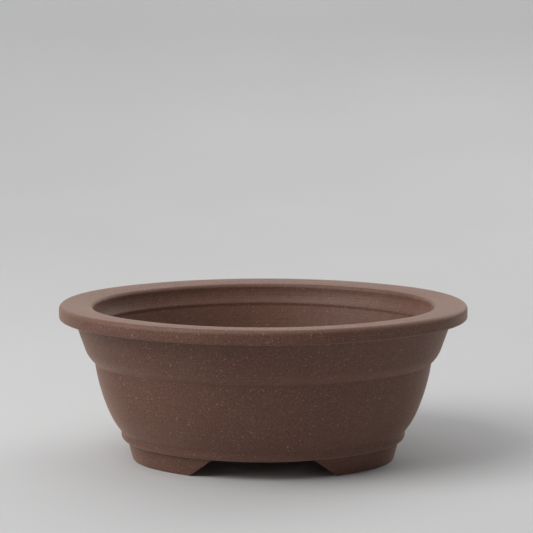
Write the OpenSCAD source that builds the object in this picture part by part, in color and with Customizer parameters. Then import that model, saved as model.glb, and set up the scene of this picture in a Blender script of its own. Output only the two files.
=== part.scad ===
// Oval unglazed bonsai pot, with its drainage screens and their wire clips.
// Millimetres, +Z up, X along the length. The origin is the centre of the ground face under the feet.
// Every clay piece is a ring whose outline is a true parallel offset of the lip's outer edge, so its
// section is written as [inset, height] pairs: the inset counts inwards from the outer edge of the lip.

/* [Plan] */
// Radius of the two end arcs of the oval plan
end_radius = 111.6; // [108:0.2:115]
// Distance of the centres of all four arcs from the middle; the lip is 2 * (end_radius + this) long
arc_offset = 43.4008; // [40:0.0001:47]

/* [Heights] */
// Height of the whole pot
pot_height = 120; // [118:1:124]
// Height of the feet, up to the underside of the floor
foot_height = 14.5; // [12:0.5:15]
// Height of the joint between the bowl wall and the collar band
collar_joint_height = 75; // [74:0.5:76]

/* [Lip] */
// Width of the flat lip, from its outer to its inner edge
lip_width = 25.6; // [24:0.2:27]
// Thickness of the lip at its outer edge
lip_thickness = 10.5; // [9:0.5:12]
// How far the flat top slopes down from its outer to its inner edge
lip_dish = 1.3; // [0.8:0.1:1.8]
// Rounding of the lip's top outer edge
lip_outer_round = 3.4; // [3:0.2:5]
// Rounding of the lip's lower outer edge
lip_under_round = 1.4; // [1:0.2:2.2]
// Rounding of the lip's inner edge
lip_inner_round = 3.2; // [2.6:0.2:4]

/* [Walls] */
// Thickness of the clay floor
floor_thickness = 9; // [8:0.5:10]
// Thickness of the bowl wall
wall_thickness = 9; // [8:0.5:9.5]
// Height of the lap between the bowl wall's tongue and the collar band
lap_height = 7; // [5:0.5:8]

/* [Feet] */
// Radial thickness of a foot at its top
foot_width = 12; // [10:0.5:13]
// Half of the gap between the feet at its top
gap_half_top = 37.5; // [34:0.5:40]
// Half of the gap between the feet at the ground
gap_half_ground = 54.5; // [50:0.5:57]

/* [Drainage] */
// Distance of each drainage hole from the centre
drain_x = 58; // [54:1:62]
// Diameter of a drainage hole
drain_d = 30; // [28:1:32]
// Diameter of a tie-wire hole
tie_hole_d = 5; // [4:0.5:6]
// Distance of a tie-wire hole from the centre along the length
tie_x = 22; // [18:1:26]
// Distance of a tie-wire hole from the centre across the width
tie_y = 44; // [38:1:46]

/* [Screens and clips] */
// Number of openings along each side of a screen
screen_cells = 11; // [9:2:11]
// Distance between the bars of a screen
screen_pitch = 4; // [4:0.1:4.2]
// Width of a screen bar
screen_bar = 1.2; // [1:0.1:1.4]
// Thickness of a screen
screen_thickness = 1.2; // [1:0.1:1.6]
// Diameter of the clip wire
wire_d = 1.6; // [1.4:0.1:1.8]
// Radius of a clip's loops, to the middle of the wire
loop_radius = 6; // [5:0.5:6.5]

/* [Hidden] */
$fn = 144;
eps = 0.01;

// The four-centre oval: two end arcs and two side arcs, tangent where they meet at 45 degrees
side_radius = end_radius + arc_offset * sqrt(2);
pot_length = 2 * (end_radius + arc_offset);
pot_width = 2 * (side_radius - arc_offset);

// Heights of the joints between the clay pieces
floor_top = foot_height + floor_thickness;
lip_under = pot_height - lip_thickness;
skirt_depth = 18.6;
skirt_bottom = pot_height - skirt_depth;
tongue_top = collar_joint_height + lap_height;

// Insets of the joints between the clay pieces, and the bevel of a foot's lower edges
collar_top_inset = 11.3;
skirt_inset = 20;
ledge_inset = 29.6;
collar_joint_inset = 26.6;
tongue_inset = 31;
slab_inset = 51;
foot_top_inset = 51;
foot_ground_inset = 54.4;
foot_edge = 1;

// The outside of the collar: a straight slope, an arc that curls in, and a small hollow down to the bowl
collar_slope = 18;
collar_curl = 48;
collar_curl_radius = 24;
collar_hollow_radius = 2.6;
bowl_top_lean = 8;
collar_curl_points = arc_down([0, 0], collar_curl_radius, collar_slope, collar_curl, 8);
curl_end = collar_curl_points[len(collar_curl_points) - 1];
collar_hollow = hollow_up([collar_joint_inset, collar_joint_height],
                          collar_hollow_radius, bowl_top_lean, collar_curl, 4);
collar_curl_start = collar_hollow[len(collar_hollow) - 1] - curl_end;

// The outside of the bowl: a long slow arc, then a quicker one down to the base moulding
bowl_radius = 150;
bowl_low_radius = 60;
bowl_mid_lean = 23;
bowl_base_lean = 36;
bowl_upper = arc_down([collar_joint_inset, collar_joint_height], bowl_radius, bowl_top_lean, bowl_mid_lean, 10);
bowl_lower = arc_down(bowl_upper[len(bowl_upper) - 1], bowl_low_radius, bowl_mid_lean, bowl_base_lean, 8);
bowl_foot = bowl_lower[len(bowl_lower) - 1];
bowl_base_inset = bowl_foot[0] + (bowl_foot[1] - floor_top) * tan(bowl_base_lean);

// The inside of the bowl keeps one wall thickness from the outside and ends in a cove on the floor
bowl_inner_upper = arc_inside([collar_joint_inset, collar_joint_height],
                              bowl_radius, bowl_top_lean, bowl_mid_lean, 8);
bowl_inner_lower = arc_inside(bowl_upper[len(bowl_upper) - 1], bowl_low_radius, bowl_mid_lean, bowl_base_lean, 6);
inner_joint_inset = bowl_inner_upper[0][0] - (tongue_top - bowl_inner_upper[0][1]) * tan(bowl_top_lean);
inner_wall_inset = bowl_base_inset + wall_thickness / cos(bowl_base_lean);
cove_radius = 10;
cove_inset = inner_wall_inset + cove_radius * (1 - sin(bowl_base_lean)) / cos(bowl_base_lean);

// The base moulding: a hollow down from the bowl, a short upright face and a round edge underneath
bead_hollow_radius = 5.2;
bead_round = 4.2;
bead_seat = 0.5;
bead_face_inset = bowl_base_inset + bead_hollow_radius * (1 - cos(bowl_base_lean));
bead_face_bottom = foot_height + bead_seat + bead_round;

// The inside of the lip: a hollow that is upright at its top and leans this far at the ledge's round edge
lip_hollow_lean = 36.6;
ledge_round = 2;
lip_hollow_radius = (ledge_inset - lip_width) / (1 - cos(lip_hollow_lean)) - ledge_round;
lip_hollow_top = skirt_bottom + ledge_round + (lip_hollow_radius + ledge_round) * sin(lip_hollow_lean);
lip_hollow = arc_down([lip_width, lip_hollow_top], lip_hollow_radius, 0, lip_hollow_lean, 6);

clay = [0.36, 0.26, 0.225];
clay_light = [0.44, 0.33, 0.29];
clay_dark = [0.30, 0.215, 0.185];
mesh_black = [0.12, 0.13, 0.12];
wire_grey = [0.72, 0.72, 0.74];

// Points on an arc that starts at p, leaning from_deg off the vertical, and runs down and inwards
function arc_down(p, r, from_deg, to_deg, steps) =
    [for (i = [0:steps])
        let (a = from_deg + (to_deg - from_deg) * i / steps)
        [p[0] + r * (cos(from_deg) - cos(a)), p[1] - r * (sin(a) - sin(from_deg))]];

// The same arc, one wall thickness further in
function arc_inside(p, r, from_deg, to_deg, steps) =
    [for (i = [0:steps])
        let (a = from_deg + (to_deg - from_deg) * i / steps, inner = r - wall_thickness)
        [p[0] + r * cos(from_deg) - inner * cos(a), p[1] + r * sin(from_deg) - inner * sin(a)]];

// A hollow that ends at p: points from p upwards, leaning from_deg at p and to_deg at its top
function hollow_up(p, r, from_deg, to_deg, steps) =
    [for (i = [0:steps])
        let (a = from_deg + (to_deg - from_deg) * i / steps)
        [p[0] - r * (cos(from_deg) - cos(a)), p[1] + r * (sin(a) - sin(from_deg))]];

function reversed(points) = [for (i = [len(points) - 1:-1:0]) points[i]];

// Points on an arc about c, by polar angle in the section plane
function arc_about(c, r, from_deg, to_deg, steps) =
    [for (i = [0:steps])
        let (a = from_deg + (to_deg - from_deg) * i / steps)
        [c[0] + r * cos(a), c[1] + r * sin(a)]];

// A quarter of a ring: the section swept about a vertical axis at the given centre
module ring_quarter(section, centre, radius, from_deg) {
    translate([centre[0], centre[1], 0])
        rotate_extrude(angle = 90, start = from_deg)
            translate([radius, 0])
                mirror([1, 0])
                    polygon(section);
}

// A whole oval ring: the section swept round the four arcs of the plan
module oval_ring(section) {
    ring_quarter(section, [arc_offset, 0], end_radius, -45);
    ring_quarter(section, [0, -arc_offset], side_radius, 45);
    ring_quarter(section, [-arc_offset, 0], end_radius, 135);
    ring_quarter(section, [0, arc_offset], side_radius, 225);
}

// A solid oval plate, inset from the lip's outer edge
module oval_plate(inset, height) {
    join_x = arc_offset + (end_radius - inset) * cos(45);
    intersection() {
        translate([0, -arc_offset, 0]) cylinder(r = side_radius - inset, h = height);
        translate([0, arc_offset, 0]) cylinder(r = side_radius - inset, h = height);
        translate([-join_x, -pot_width / 2, 0]) cube([2 * join_x, pot_width, height]);
    }
    for (side = [-1, 1])
        translate([side * arc_offset, 0, 0]) cylinder(r = end_radius - inset, h = height);
}

module floor_slab() {
    color(clay_dark)
        difference() {
            translate([0, 0, foot_height]) oval_plate(slab_inset, floor_thickness);
            for (side = [-1, 1])
                translate([side * drain_x, 0, foot_height - 1])
                    cylinder(d = drain_d, h = floor_thickness + 2);
            for (x = [-tie_x, tie_x], y = [-tie_y, tie_y])
                translate([x, y, foot_height - 1])
                    cylinder(d = tie_hole_d, h = floor_thickness + 2);
        }
}

module bowl_wall() {
    section = concat(
        bowl_upper,
        [for (i = [1:len(bowl_lower) - 1]) bowl_lower[i]],
        [[bowl_base_inset, floor_top]],
        arc_about([cove_inset, floor_top + cove_radius], cove_radius, 270, 180 + bowl_base_lean, 5),
        reversed(bowl_inner_lower),
        [for (i = [len(bowl_inner_upper) - 2:-1:0]) bowl_inner_upper[i]],
        [[inner_joint_inset, tongue_top],
         [tongue_inset, tongue_top],
         [tongue_inset, collar_joint_height]]);
    color(clay) oval_ring(section);
}

module collar_band() {
    section = concat(
        [[collar_top_inset, lip_under]],
        [for (i = [0:len(collar_curl_points) - 2]) collar_curl_start + collar_curl_points[i]],
        reversed(collar_hollow),
        [[tongue_inset, collar_joint_height],
         [tongue_inset, tongue_top],
         [inner_joint_inset, tongue_top],
         [ledge_inset, skirt_bottom],
         [skirt_inset, skirt_bottom],
         [skirt_inset, lip_under]]);
    color(clay) oval_ring(section);
}

module rim_lip() {
    outer = [lip_outer_round, pot_height - lip_outer_round];
    under = [lip_under_round, lip_under + lip_under_round];
    inner = [lip_width - lip_inner_round, pot_height - lip_dish - lip_inner_round];
    slope = atan(lip_dish / (lip_width - lip_inner_round - lip_outer_round));
    section = concat(
        arc_about(outer, lip_outer_round, 90, 180, 6),
        arc_about(under, lip_under_round, 180, 270, 4),
        [[skirt_inset, lip_under],
         [skirt_inset, skirt_bottom],
         [ledge_inset, skirt_bottom]],
        arc_about([ledge_inset - ledge_round, skirt_bottom + ledge_round], ledge_round, 0, lip_hollow_lean, 3),
        [for (i = [len(lip_hollow) - 2:-1:1]) lip_hollow[i]],
        arc_about(inner, lip_inner_round, 0, 90 - slope, 6));
    color(clay_light) oval_ring(section);
}

module base_bead() {
    section = concat(
        [[slab_inset, floor_top]],
        reversed(hollow_up([bead_face_inset, floor_top - bead_hollow_radius * sin(bowl_base_lean)],
                           bead_hollow_radius, 0, bowl_base_lean, 6)),
        arc_about([bead_face_inset + bead_round, bead_face_bottom], bead_round, 180, 270, 6),
        [[slab_inset, foot_height]]);
    color(clay) oval_ring(section);
}

// One foot: a C-shaped strip round an end of the pot, with slanted ends
module foot(side) {
    reach = pot_length;
    section = [
        [foot_top_inset, foot_height],
        [foot_ground_inset, foot_edge],
        [foot_ground_inset + foot_edge, 0],
        [foot_top_inset + foot_width - foot_edge, 0],
        [foot_top_inset + foot_width, foot_edge],
        [foot_top_inset + foot_width, foot_height]];
    color(clay_dark)
        difference() {
            oval_ring(section);
            rotate([90, 0, 0])
                linear_extrude(height = reach, center = true)
                    polygon([[-gap_half_ground, -eps], [gap_half_ground, -eps],
                             [gap_half_top, foot_height + eps], [-gap_half_top, foot_height + eps]]);
            translate([side > 0 ? -reach : 0, -reach / 2, -1]) cube([reach, reach, foot_height + 2]);
        }
}

module foot_left() { foot(-1); }
module foot_right() { foot(1); }

// A square moulded mesh that lies on the floor over a drainage hole
module drainage_screen(side) {
    size = screen_cells * screen_pitch + screen_bar;
    opening = screen_pitch - screen_bar;
    start = -screen_cells * screen_pitch / 2 + screen_bar / 2;
    color(mesh_black)
        translate([side * drain_x, 0, floor_top])
            difference() {
                translate([-size / 2, -size / 2, 0]) cube([size, size, screen_thickness]);
                for (i = [0:screen_cells - 1], j = [0:screen_cells - 1])
                    translate([start + i * screen_pitch, start + j * screen_pitch, -1])
                        cube([opening, opening, screen_thickness + 2]);
            }
}

module drainage_screen_left() { drainage_screen(-1); }
module drainage_screen_right() { drainage_screen(1); }

// A butterfly clip in one length of wire: a bar over the mesh, a loop at each end that presses the mesh
// down, and a leg from each loop through the mesh and the hole, clinched outwards under the floor.
// clip_half lists the middle of the wire from the bar's centre to one toe.
clip_low = floor_top + screen_thickness + wire_d / 2;
clip_high = clip_low + wire_d + 0.1;
clip_toe = foot_height - wire_d / 2;
clip_bend = 2;
clip_toe_reach = 16;
leg_at = [2 * screen_pitch, -screen_pitch];
clip_half = concat(
    [[0, 0, clip_high]],
    [for (a = [0:18:270])
        [leg_at[0] + loop_radius * (1 + sin(a)), loop_radius * (1 - cos(a)),
         clip_high + (clip_low - clip_high) * a / 270]],
    [for (a = [0:30:90])
        [leg_at[0], leg_at[1] + clip_bend * (1 - sin(a)), clip_low - clip_bend * (1 - cos(a))]],
    [for (a = [0:30:90])
        [leg_at[0] + clip_bend * (1 - cos(a)), leg_at[1], clip_toe + clip_bend * (1 - sin(a))]],
    [[leg_at[0] + clip_toe_reach, leg_at[1], clip_toe]]);
clip_path = concat(
    [for (i = [len(clip_half) - 1:-1:1]) [-clip_half[i][0], -clip_half[i][1], clip_half[i][2]]],
    clip_half);

function unit(v) = v / norm(v);

function directions(path) =
    [for (i = [0:len(path) - 1]) unit(path[min(i + 1, len(path) - 1)] - path[max(i - 1, 0)])];

// Carries a normal along the path without twist
function carried(dirs, normal, i = 0) =
    i == len(dirs) ? [] :
    let (n = unit(normal - (normal * dirs[i]) * dirs[i]))
    concat([n], carried(dirs, n, i + 1));

// A round wire swept along a path
module wire(path, diameter, sides = 8) {
    dirs = directions(path);
    normals = carried(dirs, [0, 1, 0.2]);
    last = len(path) - 1;
    points = [for (i = [0:last], k = [0:sides - 1])
        path[i] + diameter / 2 * (cos(360 * k / sides) * normals[i]
                                  + sin(360 * k / sides) * cross(dirs[i], normals[i]))];
    walls = [for (i = [0:last - 1], k = [0:sides - 1])
        let (a = i * sides + k, b = i * sides + (k + 1) % sides)
        [a, a + sides, b + sides, b]];
    ends = [[for (k = [0:sides - 1]) k],
            [for (k = [sides - 1:-1:0]) last * sides + k]];
    polyhedron(points = points, faces = concat(walls, ends));
}

module screen_clip(side) {
    color(wire_grey)
        translate([side * drain_x, 0, 0])
            rotate([0, 0, 90])
                wire(clip_path, wire_d);
}

module screen_clip_left() { screen_clip(-1); }
module screen_clip_right() { screen_clip(1); }

floor_slab();
bowl_wall();
collar_band();
rim_lip();
base_bead();
foot_left();
foot_right();
drainage_screen_left();
drainage_screen_right();
screen_clip_left();
screen_clip_right();
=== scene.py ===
import math

import bmesh
import bpy
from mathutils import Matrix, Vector


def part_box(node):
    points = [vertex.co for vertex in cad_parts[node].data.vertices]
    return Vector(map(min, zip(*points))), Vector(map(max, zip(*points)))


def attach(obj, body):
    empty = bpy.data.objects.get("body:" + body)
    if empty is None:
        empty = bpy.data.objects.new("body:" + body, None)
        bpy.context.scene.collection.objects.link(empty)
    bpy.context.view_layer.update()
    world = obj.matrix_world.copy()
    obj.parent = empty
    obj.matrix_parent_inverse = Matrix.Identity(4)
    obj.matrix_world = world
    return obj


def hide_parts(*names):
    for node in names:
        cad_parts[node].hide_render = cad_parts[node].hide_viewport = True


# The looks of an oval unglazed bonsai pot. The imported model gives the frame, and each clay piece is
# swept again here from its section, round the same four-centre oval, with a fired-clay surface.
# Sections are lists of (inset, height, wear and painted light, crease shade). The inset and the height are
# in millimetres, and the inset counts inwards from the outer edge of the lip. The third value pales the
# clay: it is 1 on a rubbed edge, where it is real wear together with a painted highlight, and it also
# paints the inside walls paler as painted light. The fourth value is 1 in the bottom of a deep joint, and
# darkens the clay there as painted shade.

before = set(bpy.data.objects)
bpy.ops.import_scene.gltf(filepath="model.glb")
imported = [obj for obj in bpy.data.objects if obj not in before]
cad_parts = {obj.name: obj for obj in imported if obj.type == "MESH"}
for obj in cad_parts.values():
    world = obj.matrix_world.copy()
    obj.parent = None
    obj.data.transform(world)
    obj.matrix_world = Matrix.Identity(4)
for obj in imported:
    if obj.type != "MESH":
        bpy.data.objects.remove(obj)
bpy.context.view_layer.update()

MM = 0.001

# ---------------------------------------------------------------- dimensions, in millimetres

ARC_OFFSET = 43.4008
END_RADIUS = 111.6
SIDE_RADIUS = END_RADIUS + ARC_OFFSET * math.sqrt(2)

POT_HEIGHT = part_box("rim_lip")[1].z / MM
FLOOR_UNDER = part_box("floor_slab")[0].z / MM
FLOOR_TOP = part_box("floor_slab")[1].z / MM
COLLAR_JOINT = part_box("collar_band")[0].z / MM
LIP_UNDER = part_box("collar_band")[1].z / MM
LEDGE_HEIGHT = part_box("rim_lip")[0].z / MM
TONGUE_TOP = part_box("bowl_wall")[1].z / MM

LIP_WIDTH = 25.6
LIP_DISH = 1.3
LIP_OUTER_ROUND = 3.4
LIP_UNDER_ROUND = 1.4
LIP_INNER_ROUND = 3.2
COLLAR_TOP_INSET = 11.3
SKIRT_INSET = 20
LEDGE_INSET = 29.6
LEDGE_ROUND = 2
COLLAR_INSET = 26.6
CREASE_UNDER_LIP = 1.5
CREASE_ON_COLLAR = (0.9, 2.8)
TONGUE_INSET = 31
SLAB_INSET = 51
WALL = 9
COVE_RADIUS = 10
BEAD_HOLLOW_RADIUS = 5.2
BEAD_ROUND = 4.2
BEAD_SEAT = 0.5
FOOT_TOP_INSET = 51
FOOT_GROUND_INSET = 54.4
FOOT_WIDTH = 12
FOOT_OUTER_ROUND = 1.6
FOOT_INNER_ROUND = 1.4
FOOT_END_ROUND = 1.2
GAP_HALF_TOP = 37.5
GAP_HALF_GROUND = 54.5
DRAIN_X = 58
DRAIN_RADIUS = 15
HOLE_EDGE_ROUND = 0.9
TIE_RADIUS = 2.5
TIE_X = 22
TIE_Y = 44
SCREEN_CELLS = 11
SCREEN_PITCH = 4
SCREEN_THICKNESS = 1.2
WIRE_RADIUS = 0.8
CLIP_LOOP_RADIUS = 6
CLIP_BEND = 2
CLIP_TOE = 16
CLIP_CROSSING_GAP = 0.1

# Leans from the vertical, in degrees, and radii of the arcs that shape the walls
COLLAR_LEAN = 18
COLLAR_CURL = 48
COLLAR_CURL_RADIUS = 24
COLLAR_HOLLOW_RADIUS = 2.6
BOWL_TOP_LEAN = 8
BOWL_MID_LEAN = 23
BOWL_BASE_LEAN = 36
BOWL_RADIUS = 150
BOWL_LOW_RADIUS = 60
LIP_HOLLOW_LEAN = 36.6

# How finely the clay is made, how uneven a hand leaves it, and how far its looks stay inside the model
STEPS_ROUND = 288
STEPS_ALONG_FOOT = 96
HAND_UNEVENNESS = 0.2
UNEVEN_WAVE = 55
SHRINK = 0.12

# How far the clay inside the pot is painted paler, as painted light on the inner walls, where a rubbed edge
# has 1
INSIDE_PAINTED_PALER = 0.8

# Edges sharper than this many degrees stay sharp on clay and on bars, and are rounded off on a foot
SHARP_CLAY = 35
SHARP_BAR = 50
SHARP_FOOT = 50


def rad(degrees):
    """Degrees to radians."""
    return math.radians(degrees)


# ---------------------------------------------------------------- sections of the clay pieces

def arc_down(start, radius, lean_from, lean_to, steps, inside=0.0):
    """An outline that runs down and inwards; inside shifts it that far towards the arc's centre."""
    centre = (start[0] + radius * math.cos(rad(lean_from)),
              start[1] + radius * math.sin(rad(lean_from)))
    leans = [rad(lean_from + (lean_to - lean_from) * i / steps) for i in range(steps + 1)]
    r = radius - inside
    return [(centre[0] - r * math.cos(a), centre[1] - r * math.sin(a)) for a in leans]


def arc_about(centre, radius, start, end, steps):
    """An arc by its centre and its two directions, in degrees from inwards (0) through upwards (90)."""
    angles = [rad(start + (end - start) * i / steps) for i in range(steps + 1)]
    return [(centre[0] + radius * math.cos(a), centre[1] + radius * math.sin(a)) for a in angles]


def hollow_up(end, radius, lean_from, lean_to, steps):
    """A hollow that ends at this point: an outline from there upwards and outwards."""
    leans = [rad(lean_from + (lean_to - lean_from) * i / steps) for i in range(steps + 1)]
    return [(end[0] - radius * (math.cos(leans[0]) - math.cos(a)),
             end[1] + radius * (math.sin(a) - math.sin(leans[0]))) for a in leans]


def plain(points, wear=0.0, crease=0.0):
    """Points of a section with one value of wear and painted light, and one value of painted crease shade.
    """
    return [(p[0], p[1], wear, crease) for p in points]


def rounded_edge(points, wear):
    """The points of a rounding, paled most in its middle, as wear and a painted highlight."""
    last = len(points) - 1
    return [(p[0], p[1], wear * math.sin(math.pi * i / last), 0.0) for i, p in enumerate(points)]


bowl_upper = arc_down((COLLAR_INSET, COLLAR_JOINT), BOWL_RADIUS, BOWL_TOP_LEAN, BOWL_MID_LEAN, 14)
bowl_lower = arc_down(bowl_upper[-1], BOWL_LOW_RADIUS, BOWL_MID_LEAN, BOWL_BASE_LEAN, 8)
bowl_base_inset = bowl_lower[-1][0] + (bowl_lower[-1][1] - FLOOR_TOP) * math.tan(rad(BOWL_BASE_LEAN))
inner_upper = arc_down((COLLAR_INSET, COLLAR_JOINT), BOWL_RADIUS, BOWL_TOP_LEAN, BOWL_MID_LEAN, 14, WALL)
inner_lower = arc_down(bowl_upper[-1], BOWL_LOW_RADIUS, BOWL_MID_LEAN, BOWL_BASE_LEAN, 6, WALL)
inner_joint_inset = inner_upper[0][0] - (TONGUE_TOP - inner_upper[0][1]) * math.tan(rad(BOWL_TOP_LEAN))
inner_wall_inset = bowl_base_inset + WALL / math.cos(rad(BOWL_BASE_LEAN))
cove_inset = (inner_wall_inset
              + COVE_RADIUS * (1 - math.sin(rad(BOWL_BASE_LEAN))) / math.cos(rad(BOWL_BASE_LEAN)))
bead_face_inset = bowl_base_inset + BEAD_HOLLOW_RADIUS * (1 - math.cos(rad(BOWL_BASE_LEAN)))


def lip_section():
    """The lip, its skirt inside the collar, and the hollow that ends in the ledge."""
    inner = (LIP_WIDTH - LIP_INNER_ROUND, POT_HEIGHT - LIP_DISH - LIP_INNER_ROUND)
    outer = (LIP_OUTER_ROUND, POT_HEIGHT - LIP_OUTER_ROUND)
    under = (LIP_UNDER_ROUND, LIP_UNDER + LIP_UNDER_ROUND)
    ledge = (LEDGE_INSET - LEDGE_ROUND, LEDGE_HEIGHT + LEDGE_ROUND)
    slope = math.degrees(math.atan(LIP_DISH / (LIP_WIDTH - LIP_INNER_ROUND - LIP_OUTER_ROUND)))
    hollow_radius = (LEDGE_INSET - LIP_WIDTH) / (1 - math.cos(rad(LIP_HOLLOW_LEAN))) - LEDGE_ROUND
    hollow_top = ledge[1] + (hollow_radius + LEDGE_ROUND) * math.sin(rad(LIP_HOLLOW_LEAN))
    hollow = arc_down((LIP_WIDTH, hollow_top), hollow_radius, 0, LIP_HOLLOW_LEAN, 10)
    return (rounded_edge(arc_about(outer, LIP_OUTER_ROUND, 90, 180, 9), 1.0)
            + rounded_edge(arc_about(under, LIP_UNDER_ROUND, 180, 270, 5), 0.2)
            + plain([(COLLAR_TOP_INSET - CREASE_UNDER_LIP, LIP_UNDER)], crease=0.3)
            + plain([(SKIRT_INSET, LIP_UNDER), (SKIRT_INSET, LEDGE_HEIGHT)])
            + plain([(LEDGE_INSET, LEDGE_HEIGHT)], wear=INSIDE_PAINTED_PALER)
            + rounded_edge(arc_about(ledge, LEDGE_ROUND, 0, LIP_HOLLOW_LEAN, 4), 0.6)
            + plain(hollow[-2:0:-1], wear=INSIDE_PAINTED_PALER)
            + rounded_edge(arc_about(inner, LIP_INNER_ROUND, 0, 90 - slope, 9), 0.8))


def collar_section():
    """The rounded band: it slopes out, curls in to the bowl and is paled where it curls most, as wear and a
    painted highlight.
    """
    hollow = hollow_up((COLLAR_INSET, COLLAR_JOINT), COLLAR_HOLLOW_RADIUS, BOWL_TOP_LEAN, COLLAR_CURL, 6)
    curl = arc_down((0, 0), COLLAR_CURL_RADIUS, COLLAR_LEAN, COLLAR_CURL, 12)
    shift = (hollow[-1][0] - curl[-1][0], hollow[-1][1] - curl[-1][1])
    curl = [(p[0] + shift[0], p[1] + shift[1]) for p in curl]
    slope, lightened, curled = curl[:6], curl[6:10], curl[10:-1]
    return (plain([(COLLAR_TOP_INSET, LIP_UNDER)], crease=0.3)
            + plain([(COLLAR_TOP_INSET + CREASE_ON_COLLAR[0], LIP_UNDER - CREASE_ON_COLLAR[1])])
            + plain(slope)
            + plain(lightened, wear=0.3)
            + plain(curled)
            + plain(hollow[:2:-1], crease=0.05)
            + plain(hollow[2::-1], crease=0.12)
            + plain([(TONGUE_INSET, COLLAR_JOINT), (TONGUE_INSET, TONGUE_TOP)])
            + plain([(inner_joint_inset, TONGUE_TOP), (LEDGE_INSET, LEDGE_HEIGHT)], wear=INSIDE_PAINTED_PALER)
            + plain([(SKIRT_INSET, LEDGE_HEIGHT), (SKIRT_INSET, LIP_UNDER)]))


def bowl_section():
    """The bowl's wall, from its tongue in the collar down to the cove on the floor."""
    cove = arc_about((cove_inset, FLOOR_TOP + COVE_RADIUS), COVE_RADIUS, 270, 180 + BOWL_BASE_LEAN, 7)
    return (plain(bowl_upper[:1], crease=0.12)
            + plain(bowl_upper[1:])
            + plain(bowl_lower[1:])
            + plain([(bowl_base_inset, FLOOR_TOP)])
            + plain(cove, wear=INSIDE_PAINTED_PALER)
            + plain(inner_lower[::-1] + inner_upper[-2::-1], wear=INSIDE_PAINTED_PALER)
            + plain([(inner_joint_inset, TONGUE_TOP)], wear=INSIDE_PAINTED_PALER)
            + plain([(TONGUE_INSET, TONGUE_TOP), (TONGUE_INSET, COLLAR_JOINT)]))


def bead_section():
    """The low moulding round the base: a hollow, a short face and a round lower edge."""
    hollow = hollow_up((bead_face_inset, FLOOR_TOP - BEAD_HOLLOW_RADIUS * math.sin(rad(BOWL_BASE_LEAN))),
                       BEAD_HOLLOW_RADIUS, 0, BOWL_BASE_LEAN, 7)
    edge_centre = (bead_face_inset + BEAD_ROUND, FLOOR_UNDER + BEAD_SEAT + BEAD_ROUND)
    edge = arc_about(edge_centre, BEAD_ROUND, 180, 270, 10)
    return (plain([(SLAB_INSET, FLOOR_TOP)])
            + plain(hollow[::-1])
            + rounded_edge(edge, 0.6)
            + plain([(SLAB_INSET, FLOOR_UNDER)], crease=0.8))


def foot_section():
    """A foot's section, with its lower edges rounded."""
    lean = math.degrees(math.atan((FOOT_GROUND_INSET - FOOT_TOP_INSET) / FLOOR_UNDER))
    outer = (FOOT_GROUND_INSET + FOOT_OUTER_ROUND, FOOT_OUTER_ROUND)
    inner = (FOOT_TOP_INSET + FOOT_WIDTH - FOOT_INNER_ROUND, FOOT_INNER_ROUND)
    edge = arc_about(outer, FOOT_OUTER_ROUND, 180 + lean, 270, 6)
    face = [(FOOT_TOP_INSET + (edge[0][0] - FOOT_TOP_INSET) * i / 6,
             FLOOR_UNDER + (edge[0][1] - FLOOR_UNDER) * i / 6) for i in range(6)]
    return (face + edge + arc_about(inner, FOOT_INNER_ROUND, 270, 360, 5)
            + [(FOOT_TOP_INSET + FOOT_WIDTH, FLOOR_UNDER)])


# ---------------------------------------------------------------- geometry node helpers

class Tree:
    """A node tree with short calls for its nodes and links."""

    def __init__(self, name, inputs):
        self.tree = bpy.data.node_groups.new(name, "GeometryNodeTree")
        face = self.tree.interface
        face.new_socket("Geometry", in_out="INPUT", socket_type="NodeSocketGeometry")
        for label, socket, value in inputs:
            item = face.new_socket(label, in_out="INPUT", socket_type=socket)
            if value is not None:
                item.default_value = value
        face.new_socket("Geometry", in_out="OUTPUT", socket_type="NodeSocketGeometry")
        self.source = self.tree.nodes.new("NodeGroupInput")
        self.sink = self.tree.nodes.new("NodeGroupOutput")

    def node(self, kind, inputs=None, **settings):
        made = self.tree.nodes.new(kind)
        for key, value in settings.items():
            setattr(made, key, value)
        for key, value in (inputs or {}).items():
            self.feed(made.inputs[key], value)
        return made

    def feed(self, socket, value):
        if isinstance(value, bpy.types.NodeSocket):
            self.tree.links.new(value, socket)
        else:
            socket.default_value = value

    def math(self, operation, *values):
        made = self.node("ShaderNodeMath", operation=operation)
        for i, value in enumerate(values):
            self.feed(made.inputs[i], value)
        return made.outputs[0]

    def vector_math(self, operation, *values):
        made = self.node("ShaderNodeVectorMath", operation=operation)
        for i, value in enumerate(values):
            self.feed(made.inputs[i], value)
        return made.outputs[0]

    def scaled(self, vector, factor):
        made = self.node("ShaderNodeVectorMath", operation="SCALE")
        self.feed(made.inputs[0], vector)
        self.feed(made.inputs["Scale"], factor)
        return made.outputs[0]

    def finish(self, geometry):
        """Every tree ends in Realize Instances and Set Material."""
        real = self.node("GeometryNodeRealizeInstances", {"Geometry": geometry})
        painted = self.node("GeometryNodeSetMaterial",
                            {"Geometry": real.outputs[0], "Material": self.source.outputs["Material"]})
        self.tree.links.new(painted.outputs[0], self.sink.inputs[0])
        return self.tree


def grown(name, seed_mesh, tree, **values):
    """A plain mesh object made by a node tree from a seed mesh; values go to the tree's named inputs."""
    seed = bpy.data.objects.new(name + "_seed", seed_mesh)
    bpy.context.scene.collection.objects.link(seed)
    modifier = seed.modifiers.new("grow", "NODES")
    modifier.node_group = tree
    ids = {item.name: item.identifier for item in tree.interface.items_tree if item.in_out == "INPUT"}
    for label, value in values.items():
        modifier[ids[label.replace("_", " ")]] = value
    bpy.context.view_layer.update()
    evaluated = seed.evaluated_get(bpy.context.evaluated_depsgraph_get())
    mesh = bpy.data.meshes.new_from_object(evaluated, preserve_all_data_layers=True,
                                           depsgraph=bpy.context.evaluated_depsgraph_get())
    seed.modifiers.remove(modifier)
    bpy.data.objects.remove(seed)
    bpy.data.meshes.remove(seed_mesh)
    mesh.name = name
    piece = bpy.data.objects.new(name, mesh)
    bpy.context.scene.collection.objects.link(piece)
    return piece


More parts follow.
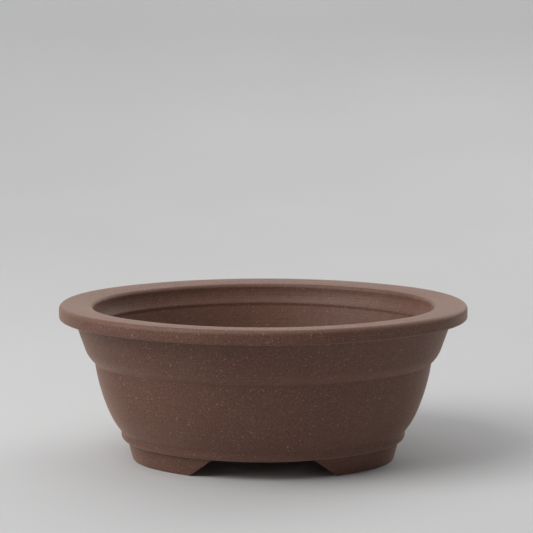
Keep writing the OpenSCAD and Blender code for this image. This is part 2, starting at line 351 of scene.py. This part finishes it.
def line_mesh(name, points, closed=False, **attributes):
    """A mesh of one run of edges, with named values on its points."""
    mesh = bpy.data.meshes.new(name)
    count = len(points)
    edges = [(i, (i + 1) % count) for i in range(count if closed else count - 1)]
    mesh.from_pydata([Vector(p) for p in points], edges, [])
    for label, values in attributes.items():
        layer = mesh.attributes.new(label, "FLOAT", "POINT")
        layer.data.foreach_set("value", values)
    return mesh


def outward(piece):
    """Turns a closed piece's faces outwards."""
    work = bmesh.new()
    work.from_mesh(piece.data)
    bmesh.ops.recalc_face_normals(work, faces=work.faces)
    work.to_mesh(piece.data)
    work.free()


# ---------------------------------------------------------------- node trees for the clay

def oval_sweep_tree():
    """Sweeps a closed section round the four-centre oval, slightly unevenly, as a hand leaves clay."""
    t = Tree("sweep_round_oval", [
        ("End Radius", "NodeSocketFloat", 0.1), ("Arc Offset", "NodeSocketFloat", 0.05),
        ("Steps Round", "NodeSocketInt", 288), ("Unevenness", "NodeSocketFloat", 0.0001),
        ("Wave Length", "NodeSocketFloat", 0.05), ("Seed", "NodeSocketFloat", 7.0),
        ("Material", "NodeSocketMaterial", None)])
    given = t.source.outputs
    circle = t.node("GeometryNodeCurvePrimitiveCircle", {"Resolution": given["Steps Round"], "Radius": 1.0})
    direction = t.node("GeometryNodeInputPosition").outputs[0]
    parts = t.node("ShaderNodeSeparateXYZ", {0: direction}).outputs
    at_end = t.math("GREATER_THAN", t.math("ABSOLUTE", parts["X"]), t.math("ABSOLUTE", parts["Y"]))
    at_side = t.math("SUBTRACT", 1.0, at_end)
    offset = given["Arc Offset"]
    centre = t.node("ShaderNodeCombineXYZ", {
        "X": t.math("MULTIPLY", t.math("MULTIPLY", t.math("SIGN", parts["X"]), offset), at_end),
        "Y": t.math("MULTIPLY", t.math("MULTIPLY", t.math("SIGN", parts["Y"]), offset),
                    t.math("MULTIPLY", at_side, -1.0))}).outputs[0]
    side_extra = t.math("MULTIPLY", t.math("MULTIPLY", offset, math.sqrt(2)), at_side)
    radius = t.math("ADD", given["End Radius"], side_extra)
    place = t.vector_math("ADD", centre, t.scaled(direction, radius))
    path = t.node("GeometryNodeSetPosition", {"Geometry": circle.outputs[0], "Position": place})
    upright = t.node("GeometryNodeSetCurveNormal", {"Curve": path.outputs[0]}, mode="Z_UP")
    section = t.node("GeometryNodeMeshToCurve", {"Mesh": given["Geometry"]})
    swept = t.node("GeometryNodeCurveToMesh",
                   {"Curve": upright.outputs[0], "Profile Curve": section.outputs[0]})
    uneven = unevenness(t, swept.outputs[0])
    return t.finish(smooth_below(t, uneven, SHARP_CLAY))


def unevenness(t, geometry):
    """Moves the clay sideways by a soft noise of the place alone, so that the joints stay closed."""
    given = t.source.outputs
    place = t.node("GeometryNodeInputPosition").outputs[0]
    noise = t.node("ShaderNodeTexNoise", {
        "Vector": place, "W": given["Seed"], "Scale": t.math("DIVIDE", 1.0, given["Wave Length"]),
        "Detail": 1.5}, noise_dimensions="4D")
    push = t.scaled(t.vector_math("SUBTRACT", noise.outputs["Color"], (0.5, 0.5, 0.5)),
                    t.math("MULTIPLY", given["Unevenness"], 2.0))
    level = t.vector_math("MULTIPLY", push, (1.0, 1.0, 0.0))
    return t.node("GeometryNodeSetPosition", {"Geometry": geometry, "Offset": level}).outputs[0]


def smooth_below(t, geometry, degrees):
    """Smooth faces, with the edges sharper than this angle left sharp."""
    faces = t.node("GeometryNodeSetShadeSmooth", {0: geometry, "Shade Smooth": True}, domain="FACE")
    angle = t.node("GeometryNodeInputMeshEdgeAngle").outputs["Unsigned Angle"]
    sharp = t.math("GREATER_THAN", angle, rad(degrees))
    edges = t.node("GeometryNodeSetShadeSmooth",
                   {0: faces.outputs[0], "Selection": sharp, "Shade Smooth": False}, domain="EDGE")
    return edges.outputs[0]


def wire_tree():
    """A round wire along a run of edges."""
    t = Tree("wire_along_path", [
        ("Radius", "NodeSocketFloat", 0.0008), ("Sides", "NodeSocketInt", 12),
        ("Material", "NodeSocketMaterial", None)])
    given = t.source.outputs
    path = t.node("GeometryNodeMeshToCurve", {"Mesh": given["Geometry"]})
    ring = t.node("GeometryNodeCurvePrimitiveCircle",
                  {"Resolution": given["Sides"], "Radius": given["Radius"]})
    wire = t.node("GeometryNodeCurveToMesh",
                  {"Curve": path.outputs[0], "Profile Curve": ring.outputs[0], "Fill Caps": True})
    return t.finish(smooth_below(t, wire.outputs[0], SHARP_BAR))


def screen_tree():
    """A moulded mesh: two rows of round bars that cross at right angles and are fused where they cross."""
    t = Tree("drainage_mesh", [
        ("Strands", "NodeSocketInt", 12), ("Pitch", "NodeSocketFloat", 0.004),
        ("Strand Radius", "NodeSocketFloat", 0.0006), ("Sides", "NodeSocketInt", 8),
        ("Material", "NodeSocketMaterial", None)])
    given = t.source.outputs
    span = t.math("MULTIPLY", t.math("SUBTRACT", given["Strands"], 1.0), given["Pitch"])
    half = t.math("MULTIPLY", span, 0.5)
    reach = t.math("ADD", half, given["Strand Radius"])
    strand = t.node("GeometryNodeCurvePrimitiveLine", {
        "Start": t.node("ShaderNodeCombineXYZ", {"X": t.math("MULTIPLY", reach, -1.0)}).outputs[0],
        "End": t.node("ShaderNodeCombineXYZ", {"X": reach}).outputs[0]})
    row = t.node("GeometryNodeMeshLine", {
        "Count": given["Strands"],
        "Start Location": t.node("ShaderNodeCombineXYZ", {"Y": t.math("MULTIPLY", half, -1.0)}).outputs[0],
        "Offset": t.node("ShaderNodeCombineXYZ", {"Y": given["Pitch"]}).outputs[0]})
    ring = t.node("GeometryNodeCurvePrimitiveCircle",
                  {"Resolution": given["Sides"], "Radius": given["Strand Radius"]})
    bar = t.node("GeometryNodeCurveToMesh",
                 {"Curve": strand.outputs[0], "Profile Curve": ring.outputs[0], "Fill Caps": True})
    layer = t.node("GeometryNodeInstanceOnPoints", {"Points": row.outputs[0], "Instance": bar.outputs[0]})
    layers = t.node("GeometryNodeJoinGeometry")
    for turn in (0.0, 90.0):
        placed = t.node("GeometryNodeTransform", {
            "Geometry": layer.outputs[0], "Rotation": (0.0, 0.0, rad(turn))})
        t.tree.links.new(placed.outputs[0], layers.inputs[0])
    middle = t.node("GeometryNodeInputPosition").outputs[0]
    at_seed = t.node("GeometryNodeSampleIndex",
                     {"Geometry": given["Geometry"], "Value": middle, "Index": 0},
                     data_type="FLOAT_VECTOR", domain="POINT").outputs[0]
    seated = t.node("GeometryNodeTransform", {"Geometry": layers.outputs[0], "Translation": at_seed})
    return t.finish(smooth_below(t, seated.outputs[0], SHARP_BAR))


# ---------------------------------------------------------------- materials

class Shader:
    """A surface material with short calls for its nodes."""

    def __init__(self, name, **surface):
        self.material = bpy.data.materials.new(name)
        self.material.use_nodes = True
        self.nodes = self.material.node_tree.nodes
        self.links = self.material.node_tree.links
        self.surface = self.nodes["Principled BSDF"]
        for label, value in surface.items():
            self.surface.inputs[label.replace("_", " ")].default_value = value
        coordinates = self.nodes.new("ShaderNodeTexCoord")
        in_mm = self.nodes.new("ShaderNodeMapping")
        in_mm.inputs["Scale"].default_value = (1 / MM, 1 / MM, 1 / MM)
        self.links.new(coordinates.outputs["Object"], in_mm.inputs["Vector"])
        self.place = in_mm.outputs[0]

    def node(self, kind, inputs=None, **settings):
        made = self.nodes.new(kind)
        for key, value in settings.items():
            setattr(made, key, value)
        for key, value in (inputs or {}).items():
            self.feed(made.inputs[key], value)
        return made

    def feed(self, socket, value):
        if isinstance(value, bpy.types.NodeSocket):
            self.links.new(value, socket)
        else:
            socket.default_value = value

    def noise(self, size_mm, detail=2.0, roughness=0.5):
        made = self.node("ShaderNodeTexNoise", {"Vector": self.place, "Scale": 1 / size_mm,
                                                "Detail": detail, "Roughness": roughness})
        return made.outputs[0]

    def cells(self, size_mm):
        return self.node("ShaderNodeTexVoronoi", {"Vector": self.place, "Scale": 1 / size_mm})

    def math(self, operation, *values):
        made = self.node("ShaderNodeMath", operation=operation)
        for i, value in enumerate(values):
            self.feed(made.inputs[i], value)
        return made.outputs[0]

    def ramp(self, value, low, high, to_low=0.0, to_high=1.0):
        return self.node("ShaderNodeMapRange", {"Value": value, "From Min": low, "From Max": high,
                                                "To Min": to_low, "To Max": to_high}).outputs[0]

    def mix(self, factor, first, second, blend="MIX"):
        made = self.node("ShaderNodeMix", {0: factor}, data_type="RGBA", blend_type=blend)
        self.feed(made.inputs[6], first)
        self.feed(made.inputs[7], second)
        return made.outputs[2]

    def attribute(self, name):
        return self.node("ShaderNodeAttribute", attribute_name=name).outputs["Fac"]


def grog(s, colour, spacing_mm, grain_mm, share, tint, strength):
    """Scattered grains: a share of the cells carry one soft-edged grain each, of about this size."""
    cells = s.cells(spacing_mm)
    chance = s.node("ShaderNodeSeparateColor", {0: cells.outputs["Color"]}).outputs
    reach = s.ramp(chance[1], 0.0, 1.0, 0.35 * grain_mm / spacing_mm, 0.75 * grain_mm / spacing_mm)
    inside = s.ramp(s.math("DIVIDE", cells.outputs["Distance"], reach), 0.75, 1.25, strength, 0.0)
    chosen = s.math("LESS_THAN", chance[0], share)
    return s.mix(s.math("MULTIPLY", inside, chosen), colour, tint)


DEEP_BROWN = (0.109, 0.0462, 0.0308, 1)
FIRED_BROWN = (0.125, 0.0539, 0.0363, 1)
WARM_PATCH = (0.144, 0.0658, 0.0458, 1)
PALE_SAND = (0.185, 0.092, 0.066, 1)
DARK_PORE = (0.058, 0.025, 0.017, 1)
TAN_GROG = (0.26, 0.140, 0.098, 1)
LIGHT_GROG = (0.33, 0.185, 0.125, 1)
IRON_GROG = (0.045, 0.020, 0.014, 1)
ORANGE_GROG = (0.55, 0.23, 0.08, 1)
# Paler clay for real wear on rubbed edges, also used as a painted highlight on those edges and as painted
# light on the inside walls
WEAR_AND_PAINTED_LIGHT_CLAY = (0.213, 0.115, 0.083, 1)
# Dark brown painted into the joints as painted shade
CREASE_SHADE_PAINT = (0.045, 0.0205, 0.0142, 1)
WARM_BLOOM = (1.0, 0.68, 0.50, 1)


def stoneware():
    """Unglazed brown stoneware: mottled, fine grained, with tiny orange, tan and dark grog; paled on worn
    edges with a painted highlight and on the inside with painted light, and darkened with painted shade in
    the creases.
    """
    s = Shader("stoneware", IOR=1.38, Sheen_Weight=0.32, Sheen_Roughness=0.45, Sheen_Tint=WARM_BLOOM)
    colour = s.mix(s.ramp(s.noise(42, 3.0), 0.3, 0.7), DEEP_BROWN, FIRED_BROWN)
    colour = s.mix(s.ramp(s.noise(6, 3.0), 0.35, 0.75, 0.0, 0.30), colour, WARM_PATCH)
    colour = s.mix(s.ramp(s.noise(1.0, 2.0, 0.6), 0.42, 0.68, 0.0, 0.65), colour, PALE_SAND)
    colour = s.mix(s.ramp(s.noise(0.8, 2.0), 0.50, 0.72, 0.0, 0.75), colour, DARK_PORE)
    colour = grog(s, colour, 1.5, 0.75, 0.50, TAN_GROG, 0.55)
    colour = grog(s, colour, 3.0, 0.85, 0.30, LIGHT_GROG, 0.75)
    colour = grog(s, colour, 2.3, 0.9, 0.35, IRON_GROG, 0.55)
    colour = grog(s, colour, 8.5, 1.0, 0.12, ORANGE_GROG, 0.8)
    # The clay is paled by the wear value: real wear and a painted highlight on rubbed edges, and painted
    # light on the inside walls
    wear_and_light_mask = s.math("MULTIPLY", s.attribute("wear"), s.ramp(s.noise(7, 3.0), 0.25, 0.75, 0.14, 0.44))
    colour = s.mix(wear_and_light_mask, colour, WEAR_AND_PAINTED_LIGHT_CLAY)
    # Painted shade: the creases between the pieces are darkened by the crease value
    colour = s.mix(s.math("MULTIPLY", s.attribute("crease"), 0.45), colour, CREASE_SHADE_PAINT)
    s.feed(s.surface.inputs["Base Color"], colour)
    s.feed(s.surface.inputs["Roughness"], s.ramp(s.noise(1.2, 2.0), 0.3, 0.7, 0.44, 0.58))
    s.feed(s.surface.inputs["Normal"], clay_bump(s))
    return s.material


def clay_bump(s):
    """Sandy grain, pits where grains fell out, and fine streaks that run round the pot from turning."""
    sandy = s.math("ADD", s.math("MULTIPLY", s.noise(0.7, 3.0, 0.6), 0.6),
                   s.math("MULTIPLY", s.noise(2.6, 2.0), 0.5))
    pits = s.ramp(s.cells(2.2).outputs["Distance"], 0.05, 0.22, 0.0, 0.35)
    turned = s.node("ShaderNodeTexNoise", {"W": s.attribute("across"), "Scale": 0.9, "Detail": 2.0},
                    noise_dimensions="1D").outputs[0]
    height = s.math("ADD", s.math("ADD", sandy, pits), s.math("MULTIPLY", turned, 0.9))
    return s.node("ShaderNodeBump", {"Strength": 0.7, "Distance": 0.00024, "Height": height}).outputs[0]


def black_mesh():
    """Moulded black polyethylene, slightly greyed by handling."""
    s = Shader("screen_mesh", Roughness=0.5, IOR=1.5)
    colour = s.mix(s.ramp(s.noise(6, 3.0), 0.35, 0.7), (0.012, 0.013, 0.012, 1), (0.028, 0.030, 0.028, 1))
    s.feed(s.surface.inputs["Base Color"], colour)
    s.feed(s.surface.inputs["Roughness"], s.ramp(s.noise(2.0, 2.0), 0.3, 0.7, 0.42, 0.6))
    bump = s.node("ShaderNodeBump", {"Strength": 0.25, "Distance": 0.00005, "Height": s.noise(0.5)})
    s.feed(s.surface.inputs["Normal"], bump.outputs[0])
    return s.material


def aluminium_wire():
    """Satin drawn aluminium wire with fine scratches."""
    s = Shader("clip_wire", Metallic=1.0, Roughness=0.35)
    colour = s.mix(s.ramp(s.noise(3, 3.0), 0.3, 0.7), (0.60, 0.60, 0.61, 1), (0.74, 0.74, 0.75, 1))
    s.feed(s.surface.inputs["Base Color"], colour)
    s.feed(s.surface.inputs["Roughness"], s.ramp(s.noise(0.4, 3.0), 0.3, 0.7, 0.26, 0.46))
    bump = s.node("ShaderNodeBump", {"Strength": 0.2, "Distance": 0.00003, "Height": s.noise(0.3, 3.0)})
    s.feed(s.surface.inputs["Normal"], bump.outputs[0])
    return s.material


CLAY = stoneware()
MESH = black_mesh()
WIRE = aluminium_wire()
OVAL_SWEEP = oval_sweep_tree()


# ---------------------------------------------------------------- the clay pieces

def ride_as(piece, node):
    """Puts a finished piece on the pot in place of its CAD node."""
    outward(piece)
    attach(piece, "root")
    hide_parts(node)


def clay_ring(node, section):
    """One ring of clay, swept from its section."""
    across = [0.0]
    for a, b in zip(section, section[1:]):
        across.append(across[-1] + math.dist(a[:2], b[:2]))
    seed = line_mesh(node, [(-p[0] * MM, -p[1] * MM, 0) for p in section], closed=True,
                     wear=[p[2] for p in section], crease=[p[3] for p in section], across=across)
    piece = grown(node + "_clay", seed, OVAL_SWEEP, End_Radius=(END_RADIUS - SHRINK) * MM,
                  Arc_Offset=ARC_OFFSET * MM, Steps_Round=STEPS_ROUND,
                  Unevenness=HAND_UNEVENNESS * MM, Wave_Length=UNEVEN_WAVE * MM, Material=CLAY)
    ride_as(piece, node)


def oval_point(inset, lean_round):
    """A point of the oval's parallel at this inset, by its normal's direction in degrees, for X > 0."""
    a = rad(lean_round)
    if abs(lean_round) <= 45:
        return ARC_OFFSET + (END_RADIUS - inset) * math.cos(a), (END_RADIUS - inset) * math.sin(a)
    y = (SIDE_RADIUS - inset) * math.sin(a)
    return (SIDE_RADIUS - inset) * math.cos(a), y - math.copysign(ARC_OFFSET, y)


def mesh_piece(name, verts, faces, material):
    """A smooth piece from its corners, in millimetres, and its faces."""
    mesh = bpy.data.meshes.new(name)
    mesh.from_pydata([Vector(v) * MM for v in verts], [], faces)
    for polygon in mesh.polygons:
        polygon.use_smooth = True
    mesh.materials.append(material)
    piece = bpy.data.objects.new(name, mesh)
    bpy.context.scene.collection.objects.link(piece)
    return piece


def rounded_off(piece, width, angle):
    """Rounds the edges that are sharper than this angle, and leaves a plain mesh."""
    bevel = piece.modifiers.new("rounding", "BEVEL")
    bevel.width, bevel.segments, bevel.limit_method, bevel.angle_limit = width, 3, "ANGLE", rad(angle)
    bpy.context.view_layer.update()
    graph = bpy.context.evaluated_depsgraph_get()
    finished = bpy.data.meshes.new_from_object(piece.evaluated_get(graph), depsgraph=graph)
    piece.modifiers.remove(bevel)
    old, piece.data = piece.data, finished
    bpy.data.meshes.remove(old)


def clay_foot(node, side):
    """A C-shaped strip round one end, whose ends lie on the two slanted planes of the gap."""
    section = foot_section()
    verts, faces = [], []
    for i in range(STEPS_ALONG_FOOT + 1):
        t = 2 * i / STEPS_ALONG_FOOT - 1
        for inset, height in section:
            gap = GAP_HALF_GROUND + (GAP_HALF_TOP - GAP_HALF_GROUND) * height / FLOOR_UNDER
            end = math.degrees(math.acos(gap / (SIDE_RADIUS - inset)))
            x, y = oval_point(inset, end * t)
            verts.append((side * x, y, height))
    n = len(section)
    for i in range(STEPS_ALONG_FOOT):
        for k in range(n):
            a, b = i * n + k, i * n + (k + 1) % n
            faces.append((a, b, b + n, a + n))
    faces.append(tuple(range(n)))
    faces.append(tuple(STEPS_ALONG_FOOT * n + k for k in range(n - 1, -1, -1)))
    piece = mesh_piece(node + "_clay", verts, faces, CLAY)
    outward(piece)
    rounded_off(piece, FOOT_END_ROUND * MM, SHARP_FOOT)
    ride_as(piece, node)


def floor_loops():
    """The outline of the floor plate, and then its drainage and tie-wire holes, run the other way."""
    outline = [oval_point(SLAB_INSET, -90 + 2.5 * i) for i in range(73)]
    outline += [(-x, -y) for x, y in outline[1:-1]]
    holes = [(side * DRAIN_X, 0, DRAIN_RADIUS, 64) for side in (-1, 1)]
    holes += [(x, y, TIE_RADIUS, 24) for x in (-TIE_X, TIE_X) for y in (-TIE_Y, TIE_Y)]
    loops = [outline]
    for x, y, radius, steps in holes:
        turns = [rad(360 * i / steps) for i in range(steps)]
        loops.append([(x + radius * math.cos(a), y - radius * math.sin(a)) for a in turns])
    return loops


def clay_floor(node):
    """The oval floor plate, cut out with its holes, with softened edges."""
    shape = bpy.data.curves.new(node + "_shape", "CURVE")
    shape.dimensions, shape.fill_mode = "2D", "BOTH"
    shape.extrude = (FLOOR_TOP - FLOOR_UNDER) / 2 * MM - HOLE_EDGE_ROUND * MM
    shape.bevel_depth, shape.bevel_resolution = HOLE_EDGE_ROUND * MM, 2
    shape.offset = -HOLE_EDGE_ROUND * MM
    for loop in floor_loops():
        spline = shape.splines.new("POLY")
        spline.points.add(len(loop) - 1)
        spline.points.foreach_set("co", [c for x, y in loop for c in (x * MM, y * MM, 0, 1)])
        spline.use_cyclic_u = True
    holder = bpy.data.objects.new(node + "_shape", shape)
    bpy.context.scene.collection.objects.link(holder)
    bpy.context.view_layer.update()
    graph = bpy.context.evaluated_depsgraph_get()
    mesh = bpy.data.meshes.new_from_object(holder.evaluated_get(graph), depsgraph=graph)
    bpy.data.objects.remove(holder)
    bpy.data.curves.remove(shape)
    work = bmesh.new()
    work.from_mesh(mesh)
    bmesh.ops.remove_doubles(work, verts=work.verts, dist=1e-6)
    bmesh.ops.translate(work, verts=work.verts, vec=(0, 0, (FLOOR_TOP + FLOOR_UNDER) / 2 * MM))
    for face in work.faces:
        face.smooth = abs(face.normal.z) < 0.9
    work.to_mesh(mesh)
    work.free()
    mesh.name = node + "_clay"
    mesh.materials.clear()
    mesh.materials.append(CLAY)
    piece = bpy.data.objects.new(node + "_clay", mesh)
    bpy.context.scene.collection.objects.link(piece)
    ride_as(piece, node)


clay_ring("rim_lip", lip_section())
clay_ring("collar_band", collar_section())
clay_ring("bowl_wall", bowl_section())
clay_ring("base_bead", bead_section())
clay_floor("floor_slab")
clay_foot("foot_left", -1)
clay_foot("foot_right", 1)


# ---------------------------------------------------------------- drainage screens and their clips

SCREEN_MESH = screen_tree()
WIRE_PATH = wire_tree()


def drainage_screen(node, side):
    """A square of mesh that lies on the floor over one drainage hole."""
    middle = (side * DRAIN_X * MM, 0, (FLOOR_TOP + SCREEN_THICKNESS / 2) * MM)
    strand = SCREEN_THICKNESS / 2
    piece = grown(node + "_strands", line_mesh(node, [middle]), SCREEN_MESH, Strands=SCREEN_CELLS + 1,
                  Pitch=SCREEN_PITCH * MM, Strand_Radius=strand * MM, Sides=12, Material=MESH)
    ride_as(piece, node)


def clip_path(side):
    """The middle of the wire: a leg, a loop, the bar over the mesh, the other loop and the other leg."""
    low = FLOOR_TOP + SCREEN_THICKNESS + WIRE_RADIUS
    high = low + 2 * WIRE_RADIUS + CLIP_CROSSING_GAP
    toe = FLOOR_UNDER - WIRE_RADIUS
    leg = (2 * SCREEN_PITCH, -SCREEN_PITCH)
    half = [(0, 0, high)]
    half += [(leg[0] + CLIP_LOOP_RADIUS * (1 + math.sin(rad(a))), CLIP_LOOP_RADIUS * (1 - math.cos(rad(a))),
              high + (low - high) * a / 270) for a in range(0, 271, 10)]
    half += [(leg[0], leg[1] + CLIP_BEND * (1 - math.sin(rad(a))), low - CLIP_BEND * (1 - math.cos(rad(a))))
             for a in range(0, 91, 15)]
    half += [(leg[0] + CLIP_BEND * (1 - math.cos(rad(a))), leg[1], toe + CLIP_BEND * (1 - math.sin(rad(a))))
             for a in range(0, 91, 15)]
    half += [(leg[0] + CLIP_TOE, leg[1], toe)]
    whole = [(-x, -y, z) for x, y, z in half[:0:-1]] + half
    return [(side * DRAIN_X - y, x, z) for x, y, z in whole]


def screen_clip(node, side):
    """The bent aluminium clip that holds one screen down."""
    seed = line_mesh(node, [Vector(p) * MM for p in clip_path(side)])
    piece = grown(node + "_wire", seed, WIRE_PATH, Radius=WIRE_RADIUS * MM, Sides=12, Material=WIRE)
    ride_as(piece, node)


for word, side in (("left", -1), ("right", 1)):
    drainage_screen("drainage_screen_" + word, side)
    screen_clip("screen_clip_" + word, side)


# ---------------------------------------------------------------- studio

POT_MIDDLE = (0, 0, 0.06)
SWEEP_CURVE = (0, 2.9, 0.5)
PAPER_GREY = (0.60, 0.60, 0.60, 1)
PAPER_PALE = (0.62, 0.62, 0.62, 1)
AIR_STRENGTH = 0.08


def studio_sweep():
    """A seamless sheet: a flat floor that curves up behind into a wall."""
    near, flat, radius, height, half = -3.0, 1.2, 2.5, 3.6, 4.5
    outline = [(near, 0.0), (flat, 0.0)]
    outline += [(flat + radius * math.sin(rad(a)), radius * (1 - math.cos(rad(a))))
                for a in range(6, 91, 6)]
    outline += [(flat + radius, height)]
    mesh = bpy.data.meshes.new("studio_sweep")
    verts = [(x, y, z) for y, z in outline for x in (-half, half)]
    faces = [(2 * i, 2 * i + 1, 2 * i + 3, 2 * i + 2) for i in range(len(outline) - 1)]
    mesh.from_pydata(verts, [], faces)
    for polygon in mesh.polygons:
        polygon.use_smooth = True
    sweep = bpy.data.objects.new("studio_sweep", mesh)
    bpy.context.scene.collection.objects.link(sweep)
    paper = Shader("studio_paper", Roughness=0.85)
    shade = paper.mix(paper.ramp(paper.noise(400, 2.0), 0.3, 0.7), PAPER_GREY, PAPER_PALE)
    paper.feed(paper.surface.inputs["Base Color"], shade)
    mesh.materials.append(paper.material)


def softbox(name, place, aim, size, power):
    """A soft rectangular light, in metres and watts, that looks from its place at its aim."""
    lamp = bpy.data.lights.new(name, "AREA")
    lamp.shape = "RECTANGLE"
    lamp.size, lamp.size_y = size
    lamp.energy = power
    holder = bpy.data.objects.new(name, lamp)
    bpy.context.scene.collection.objects.link(holder)
    holder.location = place
    holder.rotation_euler = (Vector(aim) - Vector(place)).to_track_quat("-Z", "Y").to_euler()


studio_sweep()
softbox("key_far_left", (-2.4, -0.9, 1.2), POT_MIDDLE, (1.7, 1.6), 24.5)
softbox("key_high_left", (-1.0, -0.8, 1.6), POT_MIDDLE, (1.2, 1.2), 19.0)
softbox("side_left", (-2.0, -0.2, 0.7), POT_MIDDLE, (1.2, 1.0), 3.3)
softbox("overhead", (0, 0, 1.9), POT_MIDDLE, (2.4, 2.4), 13.0)
softbox("back_right", (1.5, 1.3, 1.3), POT_MIDDLE, (1.4, 1.4), 12.2)
softbox("back_left_low", (-1.8, 1.3, 0.8), POT_MIDDLE, (1.4, 0.8), 2.8)
softbox("back_strip", (0, 2.0, 1.1), POT_MIDDLE, (3.0, 0.8), 4.1)
softbox("back_horizon", (0, 2.6, 0.9), POT_MIDDLE, (3.6, 0.5), 9.4)
softbox("right_fill", (2.0, -1.0, 0.5), POT_MIDDLE, (1.2, 1.0), 3.2)
softbox("wall_wash", (0, 1.9, 1.9), SWEEP_CURVE, (3.6, 0.8), 2.8)

world = bpy.data.worlds.new("studio_air")
bpy.context.scene.world = world
world.use_nodes = True
world.node_tree.nodes["Background"].inputs["Color"].default_value = (1, 1, 1, 1)
world.node_tree.nodes["Background"].inputs["Strength"].default_value = AIR_STRENGTH

# ---------------------------------------------------------------- camera

# Metres from the middle of the lip's top, degrees above its plane, degrees that the camera looks down,
# metres to the right of the pot's middle, and the lens and the sensor's width in millimetres
CAMERA_DISTANCE = 1.3705
CAMERA_ABOVE = 8.914
CAMERA_TILT = 7.783
CAMERA_RIGHT = 0.0025
LENS = 121.6
SENSOR_WIDTH = 36

camera = bpy.data.cameras.new("camera")
camera.sensor_width = SENSOR_WIDTH
camera.lens = LENS
camera_object = bpy.data.objects.new("camera", camera)
bpy.context.scene.collection.objects.link(camera_object)
camera_object.location = (CAMERA_RIGHT, -CAMERA_DISTANCE * math.cos(rad(CAMERA_ABOVE)),
                          POT_HEIGHT * MM + CAMERA_DISTANCE * math.sin(rad(CAMERA_ABOVE)))
camera_object.rotation_euler = (rad(90 - CAMERA_TILT), 0, 0)
bpy.context.scene.camera = camera_object
bpy.context.scene.view_settings.view_transform = "Standard"
